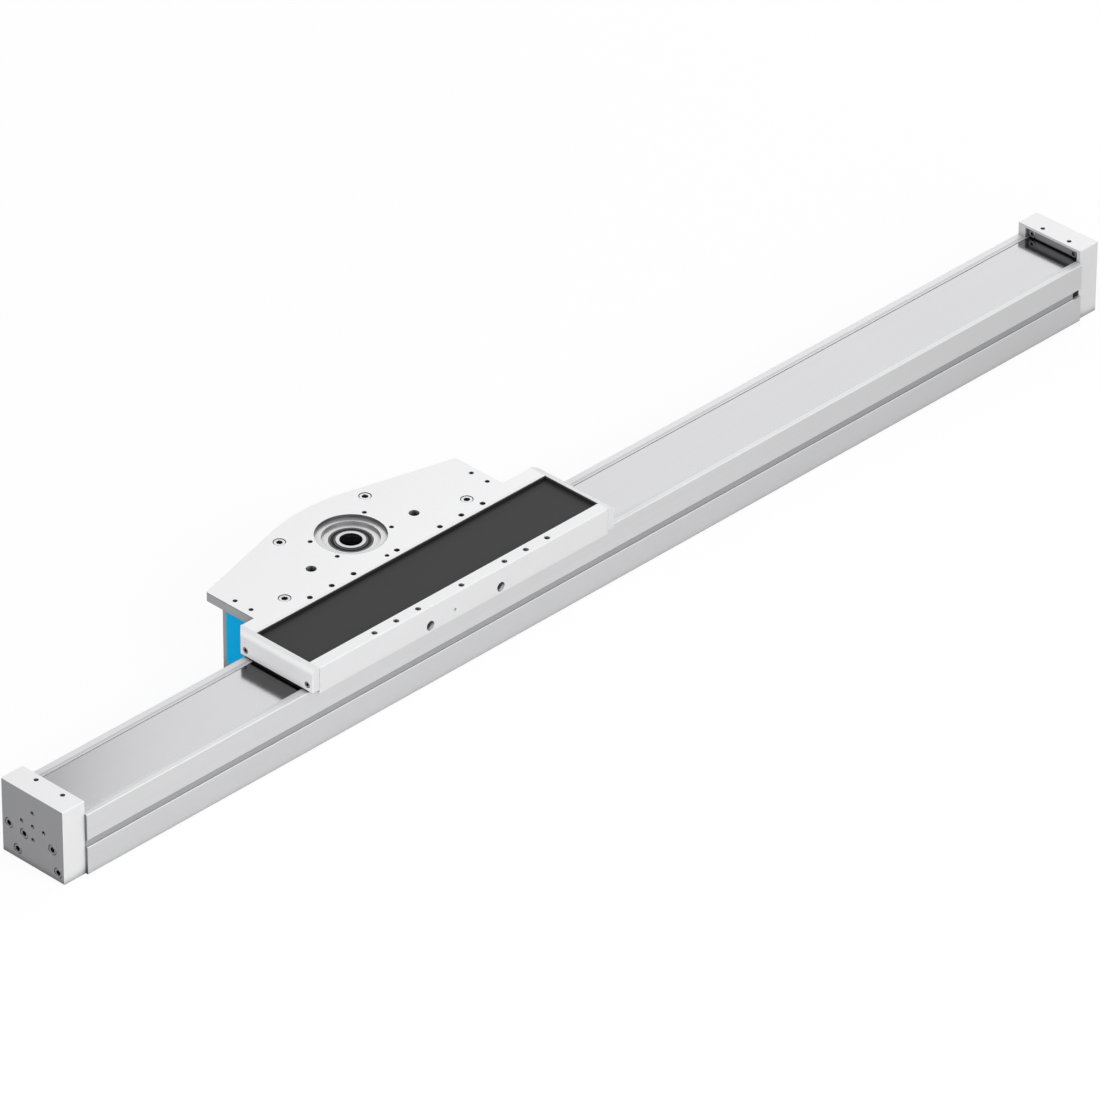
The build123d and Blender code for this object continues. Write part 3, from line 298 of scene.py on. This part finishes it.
def makeCloudGroup():
    # slow change of tone over a surface: anodising, handling and faint smudges
    group, given, put = newGroup("toneCloud", {"Size": cloudNoise["size"], "Spread": 0.04}, ("Shade",))
    place = group.nodes.new("ShaderNodeTexCoord")
    noise = noiseNode(group, place.outputs["Object"], given.outputs["Size"], cloudNoise["detail"])
    centred = mathNode(group, "SUBTRACT", noise, noiseMiddle)
    spread = mathNode(group, "MULTIPLY", centred, given.outputs["Spread"])
    feed(group, mathNode(group, "ADD", spread, 1.0), put.inputs["Shade"])
    return group


edgeWear = {"width": 0.0005, "strength": 3.0, "samples": 4}


def makeEdgeGroup():
    # where an edge has been broken or rubbed: the rounded normal departs from the surface's own
    inputs = {"Width": edgeWear["width"], "Strength": edgeWear["strength"]}
    group, given, put = newGroup("edgeWear", inputs, ("Mask",))
    bevel = group.nodes.new("ShaderNodeBevel")
    bevel.samples = edgeWear["samples"]
    feed(group, given.outputs["Width"], bevel.inputs["Radius"])
    shape = group.nodes.new("ShaderNodeNewGeometry")
    along = vectorNode(group, "DOT_PRODUCT", bevel.outputs["Normal"], shape.outputs["Normal"])
    bend = mathNode(group, "SUBTRACT", 1.0, along)
    scaled = mathNode(group, "MULTIPLY", bend, given.outputs["Strength"])
    feed(group, mathNode(group, "MINIMUM", scaled, 1.0), put.inputs["Mask"])
    return group


cavityLight = {
    "toward": (-0.62, -0.2, 0.76),    # up to the left, where holes catch light
    "power": 1.4,
    "samples": 6,
    "darkest": 0.1,      # the open share of the room at which a place is fully shaded
    "litFrom": 0.5,
    "litTo": 0.9,
}


def makeCavityGroup():
    # shade in holes and gaps: 1 in the open, down to Floor where little of the room is seen. Walls that look
    # along Toward keep at least Lit.
    inputs = {"Reach": 0.012, "Open": 0.85, "Floor": 0.1, "Power": cavityLight["power"],
              "Toward": cavityLight["toward"], "Lit": 0.0}
    group, given, put = newGroup("cavityShade", inputs, ("Shade",))
    seen = group.nodes.new("ShaderNodeAmbientOcclusion")
    seen.samples = cavityLight["samples"]
    feed(group, given.outputs["Reach"], seen.inputs["Distance"])
    seenShade = rampNode(group, seen.outputs["AO"], cavityLight["darkest"], given.outputs["Open"],
                         low=given.outputs["Floor"])
    shape = group.nodes.new("ShaderNodeNewGeometry")
    toward = vectorNode(group, "DOT_PRODUCT", shape.outputs["Normal"], given.outputs["Toward"])
    lit = rampNode(group, toward, cavityLight["litFrom"], cavityLight["litTo"], high=given.outputs["Lit"])
    shade = mathNode(group, "POWER", seenShade, given.outputs["Power"])
    feed(group, mathNode(group, "MAXIMUM", shade, lit), put.inputs["Shade"])
    return group


facingRange = {"from": 0.75, "full": 0.95}


def makeFacingGroup():
    # 1 on faces that look along the given direction, either way
    group, given, put = newGroup("faceAlong", {"Along": (1.0, 0.0, 0.0)}, ("Mask",))
    shape = group.nodes.new("ShaderNodeNewGeometry")
    along = vectorNode(group, "DOT_PRODUCT", shape.outputs["True Normal"], given.outputs["Along"])
    either = mathNode(group, "ABSOLUTE", along)
    mask = rampNode(group, either, facingRange["from"], facingRange["full"], kind="LINEAR")
    feed(group, mask, put.inputs["Mask"])
    return group


def makeBandGroup():
    # 1 between two places along a direction
    group, given, put = newGroup("bandAlong", {"Along": (0.0, 0.0, 1.0), "Low": 0.0, "High": 1.0}, ("Mask",))
    place = group.nodes.new("ShaderNodeTexCoord")
    along = vectorNode(group, "DOT_PRODUCT", place.outputs["Object"], given.outputs["Along"])
    above = mathNode(group, "GREATER_THAN", along, given.outputs["Low"])
    below = mathNode(group, "LESS_THAN", along, given.outputs["High"])
    feed(group, mathNode(group, "MULTIPLY", above, below), put.inputs["Mask"])
    return group


filletShine = {"from": 0.99, "strength": 5.0}


def makeFilletGroup():
    # 1 on the rounded or chamfered edges of square pieces, where the normal leans between two axes; the mask
    # for a painted highlight there
    group, given, put = newGroup("filletShine", {"Strength": filletShine["strength"]}, ("Mask",))
    shape = group.nodes.new("ShaderNodeNewGeometry")
    parts = group.nodes.new("ShaderNodeSeparateXYZ")
    feed(group, vectorNode(group, "ABSOLUTE", shape.outputs["Normal"]), parts.inputs[0])
    flatter = mathNode(group, "MAXIMUM", parts.outputs[0], parts.outputs[1])
    largest = mathNode(group, "MAXIMUM", flatter, parts.outputs[2])
    below = mathNode(group, "SUBTRACT", filletShine["from"], largest)
    lean = mathNode(group, "MULTIPLY", below, given.outputs["Strength"])
    feed(group, mathNode(group, "MINIMUM", mathNode(group, "MAXIMUM", lean), 1.0), put.inputs["Mask"])
    return group


turnedRings = {
    "radius": 0.03005,
    "fine": 9000.0,
    "detail": 2.0,
    "rimFrom": 0.95,     # as a share of the radius
}


def makeTurnedGroup():
    # rings left by turning round the upright axis through the origin, inside a radius, and a mask for a
    # painted bow-tie sheen, fixed on the part, of the kind that such rings show in light
    inputs = {"Radius": turnedRings["radius"], "Fine": turnedRings["fine"]}
    group, given, put = newGroup("turnedRings", inputs, ("Inside", "Rim", "Ring", "PaintedSheen"))
    place = group.nodes.new("ShaderNodeTexCoord")
    flat = vectorNode(group, "MULTIPLY", place.outputs["Object"], (1, 1, 0))
    length = vectorNode(group, "LENGTH", flat)
    rings = group.nodes.new("ShaderNodeTexNoise")
    rings.noise_dimensions = "1D"
    rings.inputs["Detail"].default_value = turnedRings["detail"]
    feed(group, mathNode(group, "MULTIPLY", length, given.outputs["Fine"]), rings.inputs["W"])
    feed(group, rings.outputs["Fac"], put.inputs["Ring"])
    feed(group, mathNode(group, "LESS_THAN", length, given.outputs["Radius"]), put.inputs["Inside"])
    rimStart = mathNode(group, "MULTIPLY", given.outputs["Radius"], turnedRings["rimFrom"])
    feed(group, mathNode(group, "GREATER_THAN", length, rimStart), put.inputs["Rim"])
    parts = group.nodes.new("ShaderNodeSeparateXYZ")
    feed(group, vectorNode(group, "NORMALIZE", flat), parts.inputs[0])
    across = mathNode(group, "MULTIPLY", parts.outputs[0], parts.outputs[1])
    feed(group, mathNode(group, "SUBTRACT", 0.5, across), put.inputs["PaintedSheen"])    # xy runs from -0.5 to 0.5
    return group


grainGroup = makeGrainGroup()
cloudGroup = makeCloudGroup()
edgeGroup = makeEdgeGroup()
cavityGroup = makeCavityGroup()
facingGroup = makeFacingGroup()
bandGroup = makeBandGroup()
filletGroup = makeFilletGroup()
turnedGroup = makeTurnedGroup()
print("shared effects built")


# Materials: one for each slot of the record, each with its own grain. "faces" paints faces along a direction
# with their own tone as painted light and shade, "bands" a stretch of them as painted shade or highlight,
# "edge" how much paler a broken edge is, "fillet" a painted highlight on a rounded one, "cavity" painted
# shade in a hole.

alongX, alongY, alongZ = (1.0, 0.0, 0.0), (0.0, 1.0, 0.0), (0.0, 0.0, 1.0)
white = (1.0, 1.0, 1.0)
blasted, moulded, coarse = (1300.0,) * 3, (900.0,) * 3, (700.0,) * 3    # even grain, in noise steps a metre
drawnAlong, turnedUpright = (20.0, 900.0, 900.0), (40.0, 40.0, 1800.0)    # grain stretched by the tool

lipBack, lipFront = (-0.0506, -0.0478), (-0.1105, -0.1059)    # the profile's lips next to the strip, across; painted shade lies on them
sideFoot = (-0.0790, -0.0535)                                 # its side under the slot, in height, painted a little darker as shade
capInnerLeft, capInnerRight = (-0.403, -0.400), (0.757, 0.760)    # the caps' faces that meet it, lengthwise, painted as faces in shade
slotLow, slotHigh = (corner[2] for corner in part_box("slot_cover"))
# slotShadow is a painted shadow under the slot's upper edge, slotShine a painted highlight along its lower
# edge
slotShadow, slotShine = (slotHigh - 0.0012, slotHigh), (slotLow, slotLow + 0.0008)

plainFinish = {"gloss": 0.5, "open": 0.85, "reach": 0.012, "lit": 0.0}    # where a finish says no other

finishes = {
    "profile": {
        "colour": (0.76, 0.76, 0.77), "metal": 0.08, "rough": 0.42,
        "stretch": (3.0, 1100.0, 1100.0), "depth": 0.16, "spread": 0.10, "cloud": 0.04,
        "edge": 0.15, "fillet": 0.7, "cavity": 0.05, "open": 0.6,
        # painted light by face: the ends dark as shade, the top a little darker than the sides; painted shade
        # in bands on each lip beside the strip and on the side under the slot
        "faces": ((alongZ, (0.75, 0.75, 0.76)), (alongX, (0.24, 0.24, 0.25))),
        "bands": ((alongY, lipBack, alongZ, (0.56, 0.56, 0.57)),
                  (alongY, lipFront, alongZ, (0.66, 0.66, 0.67)),
                  (alongZ, sideFoot, alongY, (0.71, 0.71, 0.72))),
    },
    "slot_cover": {
        "colour": (0.40, 0.40, 0.41), "metal": 0.0, "rough": 0.6,
        "stretch": (60.0, 900.0, 900.0), "depth": 0.15, "spread": 0.08, "cloud": 0.05,
        "cavity": 0.4,
        # painted shadow under the upper edge, painted highlight along the lower edge
        "bands": ((alongZ, slotShadow, alongY, (0.13, 0.13, 0.13)),
                  (alongZ, slotShine, alongY, (0.62, 0.62, 0.62))),
    },
    "rail_steel": {
        "colour": (0.62, 0.62, 0.63), "metal": 1.0, "rough": 0.25,
        "stretch": (4.0, 1600.0, 1600.0), "depth": 0.2, "spread": 0.12, "cloud": 0.05,
        "cavity": 0.1,
    },
    "runner_plastic": {
        "colour": (0.05, 0.05, 0.055), "metal": 0.0, "rough": 0.5,
        "stretch": moulded, "depth": 0.25, "spread": 0.1, "cloud": 0.05,
    },
    "screws": {
        "colour": (0.42, 0.42, 0.43), "metal": 0.8, "rough": 0.32,
        "stretch": coarse, "depth": 0.12, "spread": 0.12, "cloud": 0.1,
        "edge": 0.3, "cavity": 0.02,
    },
    "plugs": {
        "colour": (0.05, 0.05, 0.052), "metal": 0.0, "rough": 0.45,
        "stretch": moulded, "depth": 0.2, "spread": 0.1, "cloud": 0.05,
        "cavity": 0.3,
    },
    "strip_steel": {
        "colour": (0.25, 0.25, 0.255), "metal": 1.0, "rough": 0.14,
        "stretch": (1.5, 1500.0, 1500.0), "depth": 0.03, "spread": 0.12, "cloud": 0.03,
    },
    "belt": {
        "colour": (0.09, 0.09, 0.095), "metal": 0.0, "rough": 0.55,
        "stretch": moulded, "depth": 0.3, "spread": 0.12, "cloud": 0.05,
        "cavity": 0.3,
    },
    "end_caps": {
        "colour": (0.92, 0.92, 0.93), "metal": 0.05, "rough": 0.48,
        "stretch": blasted, "depth": 0.12, "spread": 0.06, "cloud": 0.04,
        "edge": 0.12, "fillet": 0.4, "cavity": 0.03, "lit": 0.9,
        # painted shade by face: the end faces dark, the faces that meet the profile less so
        "faces": ((alongX, (0.32, 0.32, 0.33)),),
        "bands": ((alongX, capInnerLeft, alongX, (0.62, 0.62, 0.63)),
                  (alongX, capInnerRight, alongX, (0.62, 0.62, 0.63))),
    },
    "clamps": {
        "colour": (0.40, 0.40, 0.41), "metal": 0.6, "rough": 0.35,
        "stretch": (900.0, 20.0, 900.0), "depth": 0.2, "spread": 0.12, "cloud": 0.05,
        "edge": 0.2, "cavity": 0.1,
    },
    "head_body": {
        "colour": (0.88, 0.88, 0.89), "metal": 0.1, "rough": 0.5,
        "stretch": blasted, "depth": 0.12, "spread": 0.06, "cloud": 0.03,
        "edge": 0.1, "fillet": 0.5, "cavity": 0.02, "lit": 1.0,
    },
    "cover_plate": {
        "colour": (0.020, 0.020, 0.020), "metal": 0.0, "rough": 0.62, "gloss": 0.2,
        "stretch": blasted, "depth": 0.2, "spread": 0.1, "cloud": 0.03,
        "cavity": 0.3, "reach": 0.004,
        # painted light by face: the top a little paler than the walls, which are painted darker as shade
        "faces": ((alongZ, (0.030, 0.030, 0.030)),),
    },
    "end_covers": {
        "colour": (0.84, 0.84, 0.85), "metal": 0.0, "rough": 0.45,
        "stretch": blasted, "depth": 0.12, "spread": 0.05, "cloud": 0.03,
        "edge": 0.1, "fillet": 0.5, "cavity": 0.03, "mirrored": 0.36,
        # painted light by face: the end faces a little paler than the rest
        "faces": ((alongX, (0.86, 0.86, 0.87)),),
    },
    "wipers": {
        "colour": (0.012, 0.012, 0.012), "metal": 0.0, "rough": 0.7,
        "stretch": coarse, "depth": 0.3, "spread": 0.15, "cloud": 0.05,
    },
    "strip_guides": {
        "colour": (0.04, 0.04, 0.042), "metal": 0.0, "rough": 0.45,
        "stretch": drawnAlong, "depth": 0.2, "spread": 0.1, "cloud": 0.05,
    },
    "drive_metal": {
        # painted light by face: tops palest, faces along Y paler than those along X, and the colour itself,
        # left on hole walls and slanted faces, dark as painted shade
        "colour": (0.18, 0.18, 0.185), "metal": 0.1, "rough": 0.5,
        "stretch": blasted, "depth": 0.12, "spread": 0.06, "cloud": 0.03,
        "edge": 0.08, "cavity": 0.02, "open": 0.9, "reach": 0.03,
        "faces": ((alongX, (0.42, 0.42, 0.43)), (alongY, (0.74, 0.74, 0.75)), (alongZ, (0.93, 0.93, 0.94))),
        # the turned recess round the bearing: its rings go from groove to groove plus ridge; its floor
        # carries a painted sheen, and its walls painted shade, darkest at the rim
        "turned": {"paintedSheenDark": (0.44, 0.44, 0.445), "bright": (0.50, 0.50, 0.505), "wall": (0.40, 0.40, 0.405),
                   "rim": (0.12, 0.12, 0.125), "bare": 0.4, "groove": 0.85, "ridge": 0.3, "smoother": 0.22,
                   "open": 0.75},
    },
    "guards": {
        "colour": (0.0, 0.52, 1.0), "metal": 0.0, "rough": 0.4, "gloss": 0.08,
        "stretch": moulded, "depth": 0.15, "spread": 0.05, "cloud": 0.05,
        "cavity": 0.6, "open": 0.4,
    },
    "bearing_steel": {
        "colour": (0.05, 0.05, 0.053), "metal": 0.9, "rough": 0.3,
        "stretch": (300.0, 300.0, 1500.0), "depth": 0.08, "spread": 0.12, "cloud": 0.04,
        "cavity": 0.15,
    },
    "seals": {
        "colour": (0.012, 0.012, 0.013), "metal": 0.0, "rough": 0.6, "gloss": 0.2,
        "stretch": moulded, "depth": 0.25, "spread": 0.1, "cloud": 0.05,
    },
    "pulley_steel": {
        "colour": (0.30, 0.30, 0.305), "metal": 1.0, "rough": 0.28,
        "stretch": turnedUpright, "depth": 0.15, "spread": 0.12, "cloud": 0.04,
        "cavity": 0.04,
    },
    "idler_steel": {
        "colour": (0.60, 0.60, 0.61), "metal": 1.0, "rough": 0.22,
        "stretch": turnedUpright, "depth": 0.1, "spread": 0.12, "cloud": 0.04,
        "cavity": 0.2,
    },
}


def addGroup(tree, group, **values):
    node = tree.nodes.new("ShaderNodeGroup")
    node.node_tree = group
    for label, value in values.items():
        node.inputs[label].default_value = value
    return node.outputs


def mixColour(tree, factor, first, second):
    # both colours are a triple or a socket; a mix of colours has them on its sockets 6 and 7
    mix = tree.nodes.new("ShaderNodeMix")
    mix.data_type = "RGBA"
    feed(tree, factor, mix.inputs["Factor"])
    for socket, colour in ((6, first), (7, second)):
        feed(tree, (*colour, 1.0) if isinstance(colour, tuple) else colour, mix.inputs[socket])
    return mix.outputs[2]


def addTurning(tree, ring, metal, rough, colour, shader):
    # the bored faces get their own tones, a painted sheen on the floor and painted shade on the walls, and
    # bare metal: gives back the colour, the roughness and their mask
    cut = addGroup(tree, turnedGroup)
    upward = addGroup(tree, facingGroup, Along=alongZ)
    floor = mixColour(tree, cut["PaintedSheen"], ring["paintedSheenDark"], ring["bright"])
    wall = mixColour(tree, cut["Rim"], ring["wall"], ring["rim"])
    bored = mixColour(tree, upward["Mask"], wall, floor)
    tone = mathNode(tree, "ADD", mathNode(tree, "MULTIPLY", cut["Ring"], ring["ridge"]), ring["groove"])
    colour = mixColour(tree, cut["Inside"], colour, vectorNode(tree, "SCALE", bored, scale=tone))
    bare = mathNode(tree, "MULTIPLY", cut["Inside"], ring["bare"])
    feed(tree, mathNode(tree, "MAXIMUM", bare, metal), shader.inputs["Metallic"])
    smoother = mathNode(tree, "MULTIPLY", cut["Inside"], ring["smoother"])
    return colour, mathNode(tree, "SUBTRACT", rough, smoother), cut["Inside"]


def makeMaterial(slot, finish):
    look = {**plainFinish, **finish}
    material = bpy.data.materials.new(slot)
    material.use_nodes = True
    tree = material.node_tree
    shader = tree.nodes["Principled BSDF"]
    shader.inputs["Metallic"].default_value = look["metal"]
    shader.inputs["Specular IOR Level"].default_value = look["gloss"]
    grain = addGroup(tree, grainGroup, Stretch=look["stretch"], Depth=look["depth"], Spread=look["spread"])
    cloud = addGroup(tree, cloudGroup, Spread=look["cloud"])
    shade = mathNode(tree, "MULTIPLY", grain["Shade"], cloud["Shade"])
    rough = mathNode(tree, "ADD", grain["Rough"], look["rough"])
    colour = look["colour"]
    # painted light and shade: faces along a direction, and bands of them, get their own tone
    for along, tone in look.get("faces", ()):
        facing = addGroup(tree, facingGroup, Along=along)
        colour = mixColour(tree, facing["Mask"], colour, tone)
    for along, (low, high), across, tone in look.get("bands", ()):
        facing = addGroup(tree, facingGroup, Along=across)
        band = addGroup(tree, bandGroup, Along=along, Low=low, High=high)
        colour = mixColour(tree, mathNode(tree, "MULTIPLY", facing["Mask"], band["Mask"]), colour, tone)
    if "turned" in look:
        colour, rough, inside = addTurning(tree, look["turned"], look["metal"], rough, colour, shader)
    colour = vectorNode(tree, "SCALE", colour, scale=shade)
    # broken edges paler as wear, rounded edges paler as a painted highlight
    for key, group in (("edge", edgeGroup), ("fillet", filletGroup)):
        if key in look:
            wearAndPaintedShine = mathNode(tree, "MULTIPLY", addGroup(tree, group)["Mask"], look[key])
            colour = mixColour(tree, wearAndPaintedShine, colour, white)
    if "cavity" in look:
        cavity = addGroup(tree, cavityGroup, Floor=look["cavity"], Open=look["open"], Reach=look["reach"],
                          Lit=look["lit"])
        left = cavity["Shade"]
        if "turned" in look:
            left = mathNode(tree, "MAXIMUM", left, mathNode(tree, "MULTIPLY", inside, look["turned"]["open"]))
        colour = vectorNode(tree, "SCALE", colour, scale=left)
    if "mirrored" in look:
        # painted dark reflection: the cover is darker to glossy rays only, so that the strip next to it
        # mirrors a dark patch
        paintedReflectionDim = mathNode(tree, "MULTIPLY", pathMask(tree, "Is Glossy Ray"), 1 - look["mirrored"])
        colour = vectorNode(tree, "SCALE", colour, scale=mathNode(tree, "SUBTRACT", 1.0, paintedReflectionDim))
    feed(tree, colour, shader.inputs["Base Color"])
    feed(tree, rough, shader.inputs["Roughness"])
    feed(tree, grain["Normal"], shader.inputs["Normal"])
    return material


materials = {slot: makeMaterial(slot, finish) for slot, finish in finishes.items()}
slotOf = {part["node"]: part["material_slot"] for part in frame["record"]["subparts"]}
for name, node in nodes.items():
    node.data.materials.clear()
    node.data.materials.append(materials[slotOf[name]])
print("materials placed on", len(nodes), "nodes")


# Cover strip and belt: both stay with the profile outside the head, and the head lifts or leads them
# through itself. Each is cut from its node into a part that is attached to the head and, on both sides, a run
# from the cap to the head, cut again into pieces.

flexRuns = {
    "cover_strip": {"name": "coverStrip", "headInset": 0.0075, "loopEvery": 0.012, "slot": "strip_steel"},
    "toothed_belt": {"name": "toothedBelt", "headReach": 0.040, "loopEvery": 0.012, "slot": "belt"},
}
runShares = (0.0, 0.1, 0.9, 1.0)    # where a run is cut again, as shares of its length from the cap to the head
mergeWithin = 1e-6


def bisectAt(place, **cut):
    bpy.ops.mesh.select_all(action="SELECT")
    bpy.ops.mesh.bisect(plane_co=(place, 0, 0), plane_no=alongX, **cut)


def copyBetween(node, name, start, end, every=None):
    source = nodes[node]
    piece = source.copy()
    piece.data = source.data.copy()
    piece.parent = None
    piece.matrix_world.identity()
    scene.collection.objects.link(piece)
    piece.name = name
    bpy.ops.object.select_all(action="DESELECT")
    piece.select_set(True)
    bpy.context.view_layer.objects.active = piece
    bpy.ops.object.mode_set(mode="EDIT")
    bpy.ops.mesh.select_all(action="SELECT")
    bpy.ops.mesh.remove_doubles(threshold=mergeWithin)
    bisectAt(start, use_fill=True, clear_inner=True, clear_outer=False)
    bisectAt(end, use_fill=True, clear_inner=False, clear_outer=True)
    loops = int((end - start) / every) if every else 0
    for step in range(1, loops):
        bisectAt(start + step * every)
    bpy.ops.mesh.select_all(action="SELECT")
    bpy.ops.mesh.normals_make_consistent(inside=False)
    bpy.ops.object.mode_set(mode="OBJECT")
    return piece


def makeFlexRuns(node, facts):
    low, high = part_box(node)
    profileLow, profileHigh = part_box("profile_extrusion")
    if "headInset" in facts:
        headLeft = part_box("end_cover_left")[0][0] + facts["headInset"]
        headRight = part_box("end_cover_right")[1][0] - facts["headInset"]
    else:
        headLeft, headRight = -facts["headReach"], facts["headReach"]
    middle = copyBetween(node, facts["name"] + "Head", headLeft, headRight)
    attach(middle, "head")
    pieces = [middle]
    sides = (("Left", profileLow[0], headLeft, low[0]), ("Right", profileHigh[0], headRight, high[0]))
    for side, cap, head, tail in sides:
        for index, (nearShare, farShare) in enumerate(zip(runShares, runShares[1:])):
            near, far = cap + (head - cap) * nearShare, cap + (head - cap) * farShare
            cutNear = near if index else tail
            piece = copyBetween(node, f"{facts['name']}{side}{index + 1}", min(cutNear, far),
                                max(cutNear, far), facts["loopEvery"])
            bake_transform(piece)
            pieces.append(piece)
    for piece in pieces:
        piece.data.materials.clear()
        piece.data.materials.append(materials[facts["slot"]])
    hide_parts(node)
    return pieces


for node, facts in flexRuns.items():
    made = makeFlexRuns(node, facts)
    print(node, "cut into", len(made), "pieces")
